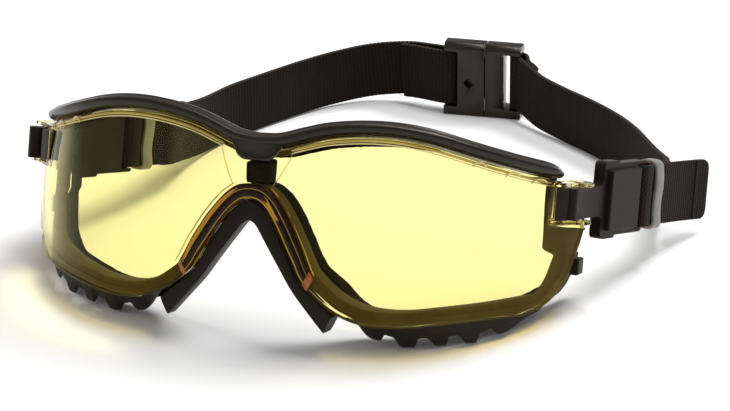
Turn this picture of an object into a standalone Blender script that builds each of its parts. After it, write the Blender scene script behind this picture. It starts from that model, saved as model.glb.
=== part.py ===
"""Safety goggles with a one-piece wrap lens, a vented gasket and an elastic strap.

The goggles lie on a surface: the gasket's teeth rest at the front and the strap's buckle at the
rear. The front is designed upright, facing -Y, and then leans back on the teeth.
Units in the design are millimetres; SCALE turns them into metres.
"""
import math

import bmesh
import bpy
from mathutils import Matrix, Vector

SCALE = 0.001
GAP = 0.3                      # clearance between pieces that touch

# Whole object
LEAN = math.radians(16.0)      # how far the front leans back as it lies
SHIFT_X = -7.94                # puts the origin under the middle of the whole object
SHIFT_Y = -77.75
LIFT = 0.19                    # lets the gasket's lowest tooth just touch the surface

# Lens
LENS_HALF_WIDTH = 70.0
LENS_FRONT = -15.0             # foremost point of the front surface
LENS_SWEEP = 40.0              # how far the sides sweep back at the half width
LENS_POWER = 3.8
LENS_MID_HEIGHT = 24.0
LENS_CROWN = 160.0
LENS_THICKNESS = 2.2

# Brow bar, an oval in section
BROW_DEPTH = 3.0               # half of its size front to back
BROW_HEIGHT = 2.0              # half of its height
BROW_TAPER_FROM = 62.5
BROW_TAPER = 6.6
BROW_END = 0.55

# Face contour, the surface where gasket and foam meet
FACE_FRONT = -5.8
FACE_SWEEP = 52.0
FACE_POWER = 3.2
FACE_HALF_WIDTH = 73.0
FOAM_DEPTH = 7.0
POST_HALF_WIDTH = 2.8

# How far out gasket and foam may reach at each height, to leave the strap clips room to swing
PORT_LIMIT = [(19.0, 76.0), (26.5, 65.3), (43.2, 64.8), (50.0, 76.0)]

# Lower rear edge of the gasket's skirt, as (across, depth); the teeth stand on it
RIM_LINE = [(0.0, -5.8), (17.0, -5.3), (24.0, -3.0), (31.0, -0.9), (37.0, 0.6), (45.0, 3.1), (52.6, 7.2),
            (57.0, 10.8), (63.0, 18.5), (70.0, 33.0)]

# Vent notches between the gasket's teeth
NOTCH_PLACES = (34.4, 41.9, 48.7, 55.5)
NOTCH_DEPTH = 2.0
NOTCH_TOP = 2.2
NOTCH_FOOT = 4.2

# Nose pad
PAD_DEPTH = 7.0

# Strap clip and its pivot
PIVOT_X = 71.6
PIVOT_Y = 30.5
PIVOT_Z = 37.4
PORT_HEIGHT = 10.6
LUG = 1.0
ARM_THICK = 3.8
ARM_FRONT = 6.6                # how far the arm reaches in front of its pivot
NECK_END = 9.8
EAR_END = 17.4
BLOCK_START = 11.5
BLOCK_END = 27.2
SLOT_START = 27.5
CLIP_END = 31.8
HEAD_HEIGHT = 19.8
BLOCK_HEIGHT = 15.5
BLOCK_PROUD = 1.4
PIN_RADIUS = 0.9
SWING_RIGHT = math.radians(-15.0)    # turned outwards as it lies
SWING_LEFT = math.radians(-20.0)     # turned inwards as it lies

# Webbing
WEB_WIDTH = 15.8
WEB_THICK = 1.3
FOLD_END = 44.5                # where the fold hands over to the long strap
LAYER_OFFSET = 1.05            # from the middle of the doubled webbing to each layer
SLOT_HEIGHT = 16.6
CHEEK = 0.9
BAR_AT = 30.6
BAR_RADIUS = 1.1
KEEPER_AT = 37.2
KEEPER_LENGTH = 4.2
KEEPER_WALL = 1.0

# Buckle, measured along it from its seam
BUCKLE_X = 12.0
BUCKLE_Y = 162.0
BUCKLE_TURN = math.radians(4.0)
BUCKLE_HEIGHT = 21.4
BUCKLE_THICK = 6.0
SOCKET_LENGTH = 11.8
PLUG_LENGTH = 10.4
TONGUE_LENGTH = 6.2
TONGUE_HEIGHT = 12.0
TONGUE_THICK = 2.0
CAVITY_LENGTH = 6.6
SOCKET_WALL = 1.2
BUCKLE_MIDDLE = BUCKLE_HEIGHT / 2
SOCKET_BAR = -10.8
PLUG_BAR = 9.4
BUCKLE_BAR_RADIUS = 1.0
PLUG_BODY = 5.2
LATCH_AT = -4.5
LATCH_HEIGHT = 9.8
LATCH_SIZE = 2.6

# Routes of the long straps on the surface, from the clips to the buckle, and their turned-back ends
ROUTE_RIGHT = [(81.9, 88.5, 13.3), (80.4, 94.5, 11.7), (78.1, 100.5, 10.1), (74.8, 107.5, 8.9),
               (70.3, 115.5, 8.25), (64.7, 124.0, 8.15), (57.7, 132.0, 8.15), (48.8, 139.8, 8.15),
               (38.6, 147.2, 8.2), (30.8, 152.5, 8.8), (26.2, 156.4, 9.8)]
SPARE_RIGHT = [(23.6, 163.3, 10.5), (25.4, 161.9, 9.6), (27.2, 160.5, 8.5)]
ROUTE_LEFT = [(-54.2, 88.0, 13.7), (-54.7, 94.0, 12.0), (-54.8, 100.0, 10.4), (-54.4, 106.5, 9.0),
              (-53.1, 114.0, 8.25), (-50.5, 122.5, 8.15), (-46.6, 130.3, 8.15), (-42.2, 138.8, 8.15),
              (-37.2, 147.6, 8.2), (-30.8, 156.0, 8.5), (-22.3, 162.6, 9.3), (-12.5, 165.0, 10.2),
              (-4.8, 164.1, 10.6)]
SPARE_LEFT = [(-2.4, 159.9, 10.7), (-7.2, 161.3, 10.6), (-12.9, 163.0, 10.2)]
# Free tails, as (outwards, along) in each clip's own frame
TAILS = {"right": [(1.1, 49.5), (1.3, 54.5), (1.7, 59.5), (2.3, 64.0)],
         "left": [(1.5, 48.5), (3.0, 53.5), (5.2, 59.0), (7.2, 63.0)]}


# ---------------------------------------------------------------- scene and object helpers

def clear_scene():
    for item in list(bpy.data.objects):
        bpy.data.objects.remove(item, do_unlink=True)


def collection(name):
    made = bpy.data.collections.new(name)
    bpy.context.scene.collection.children.link(made)
    return made


def material(name, colour, roughness, metallic=0.0, transmission=0.0):
    made = bpy.data.materials.new(name)
    made.use_nodes = True
    shader = made.node_tree.nodes["Principled BSDF"]
    shader.inputs["Base Color"].default_value = (*colour, 1.0)
    shader.inputs["Roughness"].default_value = roughness
    shader.inputs["Metallic"].default_value = metallic
    shader.inputs["Transmission Weight"].default_value = transmission
    return made


def empty(name, location, rotation, parent=None):
    made = bpy.data.objects.new(name, None)
    PARTS.objects.link(made)
    made.location = Vector(location) * SCALE
    made.rotation_euler = rotation
    made.parent = parent
    return made


def add_object(name, shape, skin, parent=None, home=None):
    """Turn a bmesh in millimetres into an object in metres."""
    bmesh.ops.recalc_face_normals(shape, faces=shape.faces)
    bmesh.ops.scale(shape, vec=(SCALE, SCALE, SCALE), verts=shape.verts)
    mesh = bpy.data.meshes.new(name)
    shape.to_mesh(mesh)
    shape.free()
    if skin:
        mesh.materials.append(skin)
    mesh.shade_smooth()
    mesh.set_sharp_from_angle(angle=math.radians(35))
    made = bpy.data.objects.new(name, mesh)
    (home or PARTS).objects.link(made)
    made.parent = parent
    return made


def add_cutter(name, shape, parent=None):
    made = add_object(name, shape, None, parent, CUTTERS)
    made.hide_render = True
    made.display_type = "WIRE"
    return made


def boolean(target, cutter, operation):
    change = target.modifiers.new(cutter.name, "BOOLEAN")
    change.operation = operation
    change.object = cutter
    change.solver = "EXACT"


def bevel(target, width, segments=2, angle=40):
    change = target.modifiers.new("edges", "BEVEL")
    change.width = width * SCALE
    change.segments = segments
    change.limit_method = "ANGLE"
    change.angle_limit = math.radians(angle)


# ---------------------------------------------------------------- shapes

def loft(rings, closed_loop=False):
    """Skin between equal rings of points; the ends are capped unless the loop closes."""
    shape = bmesh.new()
    rows = [[shape.verts.new(point) for point in ring] for ring in rings]
    count = len(rows[0])
    pairs = list(zip(rows, rows[1:]))
    if closed_loop:
        pairs.append((rows[-1], rows[0]))
    for first, second in pairs:
        for i in range(count):
            j = (i + 1) % count
            shape.faces.new((first[i], first[j], second[j], second[i]))
    if not closed_loop:
        shape.faces.new(rows[0])
        shape.faces.new(rows[-1])
    return shape


def prism(outline, low, high):
    """Extrude a plan outline of (x, y) points between two heights."""
    return loft([[Vector((x, y, z)) for x, y in outline] for z in (low, high)])


def box(low, high):
    outline = [(low[0], low[1]), (high[0], low[1]), (high[0], high[1]), (low[0], high[1])]
    return prism(outline, low[2], high[2])


def rod(centre, radius, low, high, sides=16):
    turns = [2 * math.pi * i / sides for i in range(sides)]
    outline = [(centre[0] + radius * math.cos(a), centre[1] + radius * math.sin(a)) for a in turns]
    return prism(outline, low, high)


def smooth(points, steps):
    """Catmull-Rom curve through points of any dimension."""
    padded = [points[0]] + list(points) + [points[-1]]
    curve = []
    for a, b, c, d in zip(padded, padded[1:], padded[2:], padded[3:]):
        for step in range(steps):
            t = step / steps
            curve.append(tuple(
                0.5 * (2 * q + (r - p) * t + (2 * p - 5 * q + 4 * r - s) * t * t
                       + (3 * q - p - 3 * r + s) * t ** 3)
                for p, q, r, s in zip(a, b, c, d)))
    curve.append(tuple(float(value) for value in points[-1]))
    return curve


def even(points, count):
    """Points at even spacing along a polyline."""
    lengths = [0.0]
    for a, b in zip(points, points[1:]):
        lengths.append(lengths[-1] + math.dist(a, b))
    out = []
    k = 0
    for i in range(count):
        want = lengths[-1] * i / (count - 1)
        while k < len(points) - 2 and lengths[k + 1] < want:
            k += 1
        t = (want - lengths[k]) / (lengths[k + 1] - lengths[k])
        out.append(tuple(p + (q - p) * t for p, q in zip(points[k], points[k + 1])))
    return out


def along_line(knots, x):
    """Read a value at x from (x, value) knots joined by straight lines."""
    for (x0, v0), (x1, v1) in zip(knots, knots[1:]):
        if x <= x1:
            return v0 + (v1 - v0) * (x - x0) / (x1 - x0)
    return knots[-1][1]


def between(knots, x):
    """Read a value at x from (x, value) knots, easing in and out of each."""
    if x <= knots[0][0]:
        return knots[0][1]
    for (x0, v0), (x1, v1) in zip(knots, knots[1:]):
        if x <= x1:
            t = (x - x0) / (x1 - x0)
            return v0 + (v1 - v0) * t * t * (3 - 2 * t)
    return knots[-1][1]


# ---------------------------------------------------------------- the lens surface and outline

def lens_y(x, z):
    return (LENS_FRONT + LENS_SWEEP * (abs(x) / LENS_HALF_WIDTH) ** LENS_POWER
            + (z - LENS_MID_HEIGHT) ** 2 / LENS_CROWN)


def lens_point(x, z, depth):
    """A point of the front surface, moved in by depth along the surface's normal."""
    step = 0.01
    slope_x = (lens_y(x + step, z) - lens_y(x - step, z)) / (2 * step)
    slope_z = (lens_y(x, z + step) - lens_y(x, z - step)) / (2 * step)
    return Vector((x, lens_y(x, z), z)) + depth * Vector((-slope_x, 1.0, -slope_z)).normalized()


def face_y(x):
    return FACE_FRONT + FACE_SWEEP * (abs(x) / FACE_HALF_WIDTH) ** FACE_POWER


RIM_CURVE = smooth(RIM_LINE, 4)
RIM_TOP = 20.0


def rim_y(x):
    """Depth of the skirt's lower rear edge."""
    return along_line(RIM_CURVE, abs(x))


def seat_y(x, z):
    """Depth of the gasket's rear face, which the foam sits behind."""
    return max(face_y(x), rim_y(x)) if z < RIM_TOP else face_y(x)


TOP_EDGE = [(0, 46.6), (6, 47.2), (12, 49.2), (18, 51.0), (26, 52.2), (34, 52.4), (42, 51.4), (50, 49.2),
            (58, 46.6), (64, 44.5), (68.2, 43.1)]
SIDE_EDGE = [(68.2, 43.1), (71.6, 38.0), (73.0, 32.0), (72.2, 25.0), (70.6, 17.5), (67.6, 12.2), (63.5, 9.7)]
BOTTOM_EDGE = [(63.5, 9.7), (58, 9.0), (52, 8.2), (46, 7.3), (40, 6.4), (34, 6.0), (28, 6.6), (22, 9.0),
               (17, 12.8)]
NOSE_EDGE = [(17, 12.8), (13.5, 16.6), (9.8, 23.7), (7.3, 28.3), (4.7, 32.1), (2.2, 34.2), (0, 34.6)]
PAD_INNER = [(20.2, 3.2), (15.6, 8.6), (11.9, 13.1), (8.0, 19.0), (3.9, 25.1), (1.7, 28.2), (0, 29.2)]
PAD_OUTER = [(22.2, 7.4), (16.6, 12.4), (13.1, 16.2), (9.8, 22.4), (6.8, 28.0), (4.2, 31.7), (0, 34.1)]


def half_outline():
    """Even points round the right half of the lens: top centre, side, bottom, nose."""
    return (even(smooth(TOP_EDGE, 4), 17)[:-1] + even(smooth(SIDE_EDGE, 4), 10)[:-1]
            + even(smooth(BOTTOM_EDGE, 4), 13)[:-1] + even(smooth(NOSE_EDGE, 4), 9))


def whole_outline():
    """The closed outline, with the way in at each point and its place from 0 (top) to 1 (nose)."""
    half = half_outline()
    last = len(half) - 1
    marks = [i / last for i in range(len(half))]
    loop = half + [(-x, z) for x, z in reversed(half[1:-1])]
    marks = marks + list(reversed(marks[1:-1]))
    out = []
    for i, (x, z) in enumerate(loop):
        (x0, z0), (x1, z1) = loop[i - 1], loop[(i + 1) % len(loop)]
        along = Vector((x1 - x0, z1 - z0)).normalized()
        out.append((x, z, along.y, -along.x, marks[i]))
    return out


def lens_grid(rows=8, columns=26):
    """Half the front surface as an open sheet, from the middle plane to the side."""
    top = even(smooth(TOP_EDGE, 4), columns)
    lower = even(smooth(list(reversed(BOTTOM_EDGE + NOSE_EDGE[1:])), 4), columns)
    side = even(smooth(list(reversed(SIDE_EDGE)), 4), rows)
    shape = bmesh.new()
    grid = []
    for j in range(rows):
        v = j / (rows - 1)
        line = []
        for i in range(columns):
            u = i / (columns - 1)
            ends = [(1 - v) * lower[-1][k] + v * top[-1][k] for k in (0, 1)]
            x, z = [(1 - v) * lower[i][k] + v * top[i][k] + u * (side[j][k] - ends[k]) for k in (0, 1)]
            line.append(shape.verts.new((x, lens_y(x, z), z)))
        grid.append(line)
    for a, b in zip(grid, grid[1:]):
        for i in range(columns - 1):
            shape.faces.new((a[i], a[i + 1], b[i + 1], b[i]))
    return shape


# ---------------------------------------------------------------- front pieces

# Plan of the port that holds a strap clip, seen along its pivot
CLEVIS_REACH = 3.4
CLEVIS_ROUND = [(PIVOT_X + CLEVIS_REACH * math.cos(math.radians(a)),
                 PIVOT_Y + CLEVIS_REACH * math.sin(math.radians(a))) for a in range(-40, 141, 20)]
CLEVIS_OUTLINE = [(66.6, 19.2), (68.6, 21.6), (71.6, 26.2)] + CLEVIS_ROUND + [(66.9, 29.0), (65.9, 23.4)]

# Plan of the space inside the port, open outwards and to the rear
POCKET_OUTLINE = [(67.4, 20.9), (90.0, 20.9), (90.0, 45.0), (60.0, 45.0), (60.0, 33.2), (67.4, 31.5)]


def mirror_across(target):
    change = target.modifiers.new("mirror", "MIRROR")
    change.use_clip = True
    change.merge_threshold = 0.0001
    return change


def mirrored(shape):
    """Add the mirror image of closed bodies across the middle plane."""
    copy = bmesh.ops.duplicate(shape, geom=shape.verts[:] + shape.edges[:] + shape.faces[:])["geom"]
    bmesh.ops.scale(shape, vec=(-1, 1, 1), verts=[g for g in copy if isinstance(g, bmesh.types.BMVert)])
    return shape


def make_lens():
    lens = add_object("lens", lens_grid(), AMBER, FRONT)
    mirror_across(lens)
    wall = lens.modifiers.new("wall", "SOLIDIFY")
    wall.thickness = LENS_THICKNESS * SCALE
    wall.offset = -1.0
    wall.use_even_offset = True
    half = PORT_HEIGHT / 2
    inside = half - LUG
    clevis = prism(CLEVIS_OUTLINE, PIVOT_Z - half, PIVOT_Z + half)
    pocket = prism(POCKET_OUTLINE, PIVOT_Z - inside, PIVOT_Z + inside)
    hole = rod((PIVOT_X, PIVOT_Y), PIN_RADIUS + GAP, PIVOT_Z - half - 1, PIVOT_Z + half + 1)
    boolean(lens, add_cutter("lens_clevis", mirrored(clevis), FRONT), "UNION")
    boolean(lens, add_cutter("lens_pocket", mirrored(pocket), FRONT), "DIFFERENCE")
    boolean(lens, add_cutter("lens_pin_holes", mirrored(hole), FRONT), "DIFFERENCE")


def make_brow_bar():
    """A rounded bar along the lens's top edge, with a boss that hangs over the bridge."""
    edge = even(smooth(TOP_EDGE, 4), 19)
    spine = [(-x, z) for x, z in reversed(edge[1:])] + edge
    middle = [lens_point(x, z, LENS_THICKNESS / 2) for x, z in spine]
    rings = []
    for i, (x, z) in enumerate(spine):
        taper = math.sqrt(max(0.0, 1 - max(0.0, (abs(x) - BROW_TAPER_FROM) / BROW_TAPER) ** 2))
        size = BROW_END + (1 - BROW_END) * taper
        along = (middle[min(i + 1, len(middle) - 1)] - middle[max(i - 1, 0)]).normalized()
        out = lens_point(x, z, 0.0) - middle[i]
        out = (out - along * out.dot(along)).normalized()
        up = out.cross(along)
        up = up if up.z > 0 else -up
        centre = middle[i] + up * (GAP + 0.1 + BROW_HEIGHT * size)
        turns = [2 * math.pi * (a + 0.5) / 10 for a in range(10)]
        rings.append([centre + out * BROW_DEPTH * size * math.cos(a) + up * BROW_HEIGHT * size * math.sin(a)
                      for a in turns])
    bar = add_object("brow_bar", loft(rings), SATIN, FRONT)
    face = lens_y(0, 46) - GAP
    boss_half = [(6.6, 49.2), (6.2, 46.8), (4.8, 45.0), (2.6, 44.1)]
    outline = boss_half + [(-x, z) for x, z in reversed(boss_half)]
    boss = loft([[Vector((x, y + lens_y(x, z) - lens_y(0, 46), z)) for x, z in outline]
                 for y in (face - 1.9, face)])
    boolean(bar, add_cutter("brow_boss", boss, FRONT), "UNION")


def clear_of_port(x, z, margin):
    return math.copysign(min(abs(x), between(PORT_LIMIT, z) - margin), x)


def band(offset, width, front, rear, margins, lower=None, flare=((0.0, 0.0), (1.0, 0.0))):
    """Rings of a closed band that follows the lens outline.

    offset and width give the band's outer edge and its breadth, by place round the outline.
    margins keep the outer and the inner edge clear of the ports.
    front and rear turn a point (x, z) into a depth, and lower does so for the outer rear edge,
    which flare moves outwards.
    """
    rings = []
    for x, z, in_x, in_z, mark in whole_outline():
        start, breadth, drop = between(offset, mark), between(width, mark), between(flare, mark)
        outer = (clear_of_port(x + in_x * start, z + in_z * start, margins[0]), z + in_z * start)
        inner = (clear_of_port(x + in_x * (start + breadth), z + in_z * (start + breadth), margins[1]),
                 z + in_z * (start + breadth))
        low = (outer[0] - in_x * drop, outer[1] - in_z * drop)
        low_depth = lower(low[0], low[1], mark) if lower else rear(*low)
        rings.append([Vector((outer[0], front(*outer), outer[1])),
                      Vector((inner[0], front(*inner), inner[1])),
                      Vector((inner[0], rear(*inner), inner[1])),
                      Vector((low[0], low_depth, low[1]))])
    return rings


# Places round the half outline, from 0 at the top centre to 1 at the nose
TOP, HEEL, NOSE_FOOT, BRIDGE = 0.0, 0.55, 0.82, 1.0


def behind_lens(x, z):
    """Depth just behind the lens's rear surface, measured straight back."""
    slope = (lens_y(x + 0.01, z) - lens_y(x - 0.01, z)) / 0.02
    return lens_y(x, z) + (LENS_THICKNESS + 2 * GAP) * math.hypot(1.0, slope)


def skirt_y(x, z, mark):
    """Depth of the gasket's outer rear edge: the face contour at the sides, the rim below."""
    share = between([(0.48, 0.0), (HEEL, 1.0)], mark)
    return face_y(x) + (rim_y(x) - face_y(x)) * share


def make_gasket():
    offset = [(TOP, 0.6), (0.29, 1.0), (0.48, 1.0), (HEEL, 0.8), (BRIDGE, 0.6)]
    width = [(TOP, 2.6), (0.27, 3.0), (0.48, 4.0), (HEEL, 3.6), (0.62, 3.0), (NOSE_FOOT, 3.0), (BRIDGE, 2.6)]
    flare = [(0.43, 0.0), (0.48, -1.2), (0.525, -1.0), (HEEL, 1.6), (0.585, 5.4), (0.61, 7.0), (0.7, 6.9),
             (0.735, 5.6), (0.775, 0.5), (0.8, 0.0)]
    rings = band(offset, width, behind_lens, seat_y, (0.0, 1.8), skirt_y, flare)
    gasket = add_object("gasket_frame", loft(rings, True), RUBBER, FRONT)
    notches = bmesh.new()
    for place in NOTCH_PLACES:
        floor = rim_y(place) * math.tan(LEAN)
        foot = [(place - NOTCH_FOOT / 2, floor - 2), (place + NOTCH_FOOT / 2, floor - 2),
                (place + NOTCH_TOP / 2, floor + NOTCH_DEPTH), (place - NOTCH_TOP / 2, floor + NOTCH_DEPTH)]
        for side in (1, -1):
            rows = [[notches.verts.new((side * x, y, z)) for x, z in foot]
                    for y in (rim_y(place) - 6, rim_y(place) + 3)]
            for i in range(4):
                j = (i + 1) % 4
                notches.faces.new((rows[0][i], rows[0][j], rows[1][j], rows[1][i]))
            notches.faces.new(rows[0])
            notches.faces.new(rows[1])
    boolean(gasket, add_cutter("gasket_notches", notches, FRONT), "DIFFERENCE")
    tab = mirrored(box((68.4, 32.0, 18.8), (72.4, 37.0, 23.0)))
    boolean(gasket, add_cutter("gasket_tabs", tab, FRONT), "UNION")


def make_foam():
    offset = [(TOP, 1.2), (0.27, 1.6), (0.48, 2.6), (HEEL, 1.2), (0.6, -1.6), (0.75, -1.6), (NOSE_FOOT, 0.6),
              (BRIDGE, 0.8)]
    width = [(TOP, 2.6), (0.15, 4.0), (0.48, 4.2), (HEEL, 4.4), (0.65, 4.8), (0.78, 4.4), (0.9, 3.0),
             (BRIDGE, 2.4)]
    front = 2 * GAP
    rings = band(offset, width, lambda x, z: seat_y(x, z) + front,
                 lambda x, z: seat_y(x, z) + front + FOAM_DEPTH, (0.6, 3.2))
    foam = add_object("foam_liner", loft(rings, True), FOAM, FRONT)
    near, joint, back = -10.0, FACE_FRONT + front + 0.4, FACE_FRONT + FOAM_DEPTH
    outline = [(near, 38.2), (near, 43.0), (joint, 43.0), (joint, 44.2), (back, 44.2), (back, 36.6),
               (joint, 36.6), (joint, 38.2)]
    post = loft([[Vector((x, y, z)) for y, z in outline] for x in (-POST_HALF_WIDTH, POST_HALF_WIDTH)])
    boolean(foam, add_cutter("foam_post", post, FRONT), "UNION")


def make_nose_pad():
    """An inverted V under the lens's nose arch, as one band from foot to foot."""
    inner = even(smooth(PAD_INNER, 4), 11)
    outer = even(smooth(PAD_OUTER, 4), 11)
    inner = inner + [(-x, z) for x, z in reversed(inner[:-1])]
    outer = outer + [(-x, z) for x, z in reversed(outer[:-1])]
    rings = []
    for (x0, z0), (x1, z1) in zip(inner, outer):
        near0, near1 = lens_y(x0, z0) + 0.4, lens_y(x1, z1) + 0.4
        rings.append([Vector((x0, near0, z0)), Vector((x1, near1, z1)),
                      Vector((x1, near1 + PAD_DEPTH, z1)), Vector((x0, near0 + PAD_DEPTH, z0))])
    add_object("nose_pad", loft(rings), RUBBER, FRONT)


# ---------------------------------------------------------------- strap clips

def make_hinge(side, suffix):
    """The insert in the port and the pin through the port's lugs."""
    inside = PORT_HEIGHT / 2 - LUG - GAP
    outline = [(67.75, 21.3), (69.2, 22.3), (70.5, 23.3), (68.7, 23.9), (67.85, 25.3), (67.75, 26.6)]
    block = prism([(side * x, y) for x, y in outline], PIVOT_Z - inside, PIVOT_Z + inside)
    add_object("hinge_block_" + suffix, block, SATIN, FRONT)
    reach = PORT_HEIGHT / 2 - 0.2
    pin = rod((side * PIVOT_X, PIVOT_Y), PIN_RADIUS, PIVOT_Z - reach, PIVOT_Z + reach)
    add_object("hinge_pin_" + suffix, pin, STEEL, FRONT)


def make_clip(side, suffix, arm):
    """A T-shaped clip: arm, head with two ears, raised block, slot and rear bar."""
    half = ARM_THICK / 2
    plate_out = half - 0.7
    neck, ear, tail = 3.9, HEAD_HEIGHT / 2, SLOT_HEIGHT / 2 + CHEEK
    start = half - ARM_FRONT
    right = [(start, -neck), (NECK_END, -neck), (NECK_END, -ear), (EAR_END, -ear), (EAR_END, -tail),
             (CLIP_END, -tail)]
    outline = right + [(y, -z) for y, z in reversed(right)]
    plate = loft([[Vector((side * x, y, z)) for y, z in outline] for x in (-half, plate_out)])
    clip = add_object("strap_clip_" + suffix, plate, SATIN, arm)
    nose = rod((0, start), half, -neck - 0.1, neck + 0.1)
    boolean(clip, add_cutter("clip_nose_" + suffix, nose, arm), "UNION")
    low, high = sorted((side * (plate_out - 0.6), side * (plate_out + BLOCK_PROUD)))
    block = box((low, BLOCK_START, -BLOCK_HEIGHT / 2), (high, BLOCK_END, BLOCK_HEIGHT / 2))
    boolean(clip, add_cutter("clip_block_" + suffix, block, arm), "UNION")
    window = box((-6, SLOT_START, -SLOT_HEIGHT / 2), (6, CLIP_END + 1, SLOT_HEIGHT / 2))
    boolean(clip, add_cutter("clip_window_" + suffix, window, arm), "DIFFERENCE")
    bar = rod((0, BAR_AT), BAR_RADIUS, -SLOT_HEIGHT / 2 - 0.4, SLOT_HEIGHT / 2 + 0.4)
    boolean(clip, add_cutter("clip_bar_" + suffix, bar, arm), "UNION")
    hole = rod((0, 0), PIN_RADIUS + GAP, -6, 6)
    boolean(clip, add_cutter("clip_hole_" + suffix, hole, arm), "DIFFERENCE")


def ribbon(centres, width_ways, name, skin, parent):
    """A flat band of webbing along centre points, with its width along the given directions."""
    rings = []
    last = len(centres) - 1
    for i, (centre, across) in enumerate(zip(centres, width_ways)):
        along = (centres[min(i + 1, last)] - centres[max(i - 1, 0)]).normalized()
        across = (across - along * across.dot(along)).normalized()
        thick = along.cross(across) * (WEB_THICK / 2)
        wide = across * (WEB_WIDTH / 2)
        rings.append([centre + wide + thick, centre - wide + thick,
                      centre - wide - thick, centre + wide - thick])
    add_object(name, loft(rings), skin, parent)


def turn_round(centre, radius, first, last, steps):
    """Points of an arc in plan, between two angles in degrees."""
    angles = [math.radians(first + (last - first) * i / steps) for i in range(steps + 1)]
    return [(centre[0] + radius * math.cos(a), centre[1] + radius * math.sin(a)) for a in angles]


def make_fold(side, suffix, arm, tail):
    """Webbing folded round the clip's rear bar, with its two layers held by the keeper."""
    round_bar = BAR_RADIUS + GAP + WEB_THICK / 2
    layer = LAYER_OFFSET
    settle = [(round_bar, BAR_AT + 1.2), (round_bar * 0.8 + layer * 0.2, BAR_AT + 2.6),
              (layer + 0.12, BAR_AT + 4.2), (layer, BAR_AT + 6.0), (layer, FOLD_END)]
    inner = [(-x, y) for x, y in reversed(settle)]
    arc = turn_round((0, BAR_AT), round_bar, -180, 0, 8)
    plan = inner + arc + settle + tail
    centres = [Vector((side * x, y, 0)) for x, y in plan]
    ribbon(centres, [Vector((0, 0, 1))] * len(centres), "strap_fold_" + suffix, WEBBING, arm)


def make_keeper(suffix, arm):
    inside_x = LAYER_OFFSET + WEB_THICK / 2 + GAP
    inside_z = WEB_WIDTH / 2 + GAP
    low_y, high_y = KEEPER_AT - KEEPER_LENGTH / 2, KEEPER_AT + KEEPER_LENGTH / 2
    outer_x, outer_z = inside_x + KEEPER_WALL, inside_z + KEEPER_WALL
    outside = box((-outer_x, low_y, -outer_z), (outer_x, high_y, outer_z))
    keeper = add_object("strap_keeper_" + suffix, outside, KEEPER, arm)
    bevel(keeper, 0.9, 2)
    inside = box((-inside_x, low_y - 1, -inside_z), (inside_x, high_y + 1, inside_z))
    boolean(keeper, add_cutter("keeper_inside_" + suffix, inside, arm), "DIFFERENCE")


# ---------------------------------------------------------------- long straps

def arm_to_floor(side, swing, out, along):
    """A point of a clip's own frame, in the frame of the surface that the goggles lie on."""
    turned = Matrix.Rotation(swing, 3, "Z") @ Vector((side * out, along, 0))
    upright = Vector((side * PIVOT_X, PIVOT_Y, PIVOT_Z)) + turned
    return Matrix.Rotation(-LEAN, 3, "X") @ upright


def buckle_point(along, out, height):
    """A point given along the buckle, towards its rear face, and above the surface."""
    plan = Matrix.Rotation(BUCKLE_TURN, 3, "Z") @ Vector((along, out, 0))
    return Vector((BUCKLE_X + plan.x, BUCKLE_Y + plan.y, height))


def make_strap(side, suffix, swing, route, spare):
    """Webbing from its fold to the buckle: round the buckle's bar and back along itself."""
    handover = FOLD_END + GAP
    ends = [arm_to_floor(side, swing, -LAYER_OFFSET, handover + step) for step in (0.0, 3.5)]
    bar = PLUG_BAR if side > 0 else SOCKET_BAR
    reach = BUCKLE_BAR_RADIUS + GAP + WEB_THICK / 2
    first, last = (-90, -270) if side > 0 else (90, -90)
    wrap = [buckle_point(bar + x, y, BUCKLE_MIDDLE) for x, y in turn_round((0, 0), reach, first, last, 8)]
    run = smooth([tuple(p) for p in ends] + route + [tuple(wrap[0])], 4)
    back = smooth([tuple(wrap[-1])] + spare, 2)
    centres = [Vector(p) for p in run] + wrap[1:-1] + [Vector(p) for p in back]
    leaning = Vector((0, math.sin(LEAN), math.cos(LEAN)))
    ways = [leaning.lerp(Vector((0, 0, 1)), between([(88, 0.0), (112, 1.0)], c.y)) for c in centres]
    ribbon(centres, ways, "strap_" + suffix, WEBBING, WHOLE)


# ---------------------------------------------------------------- buckle

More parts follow.
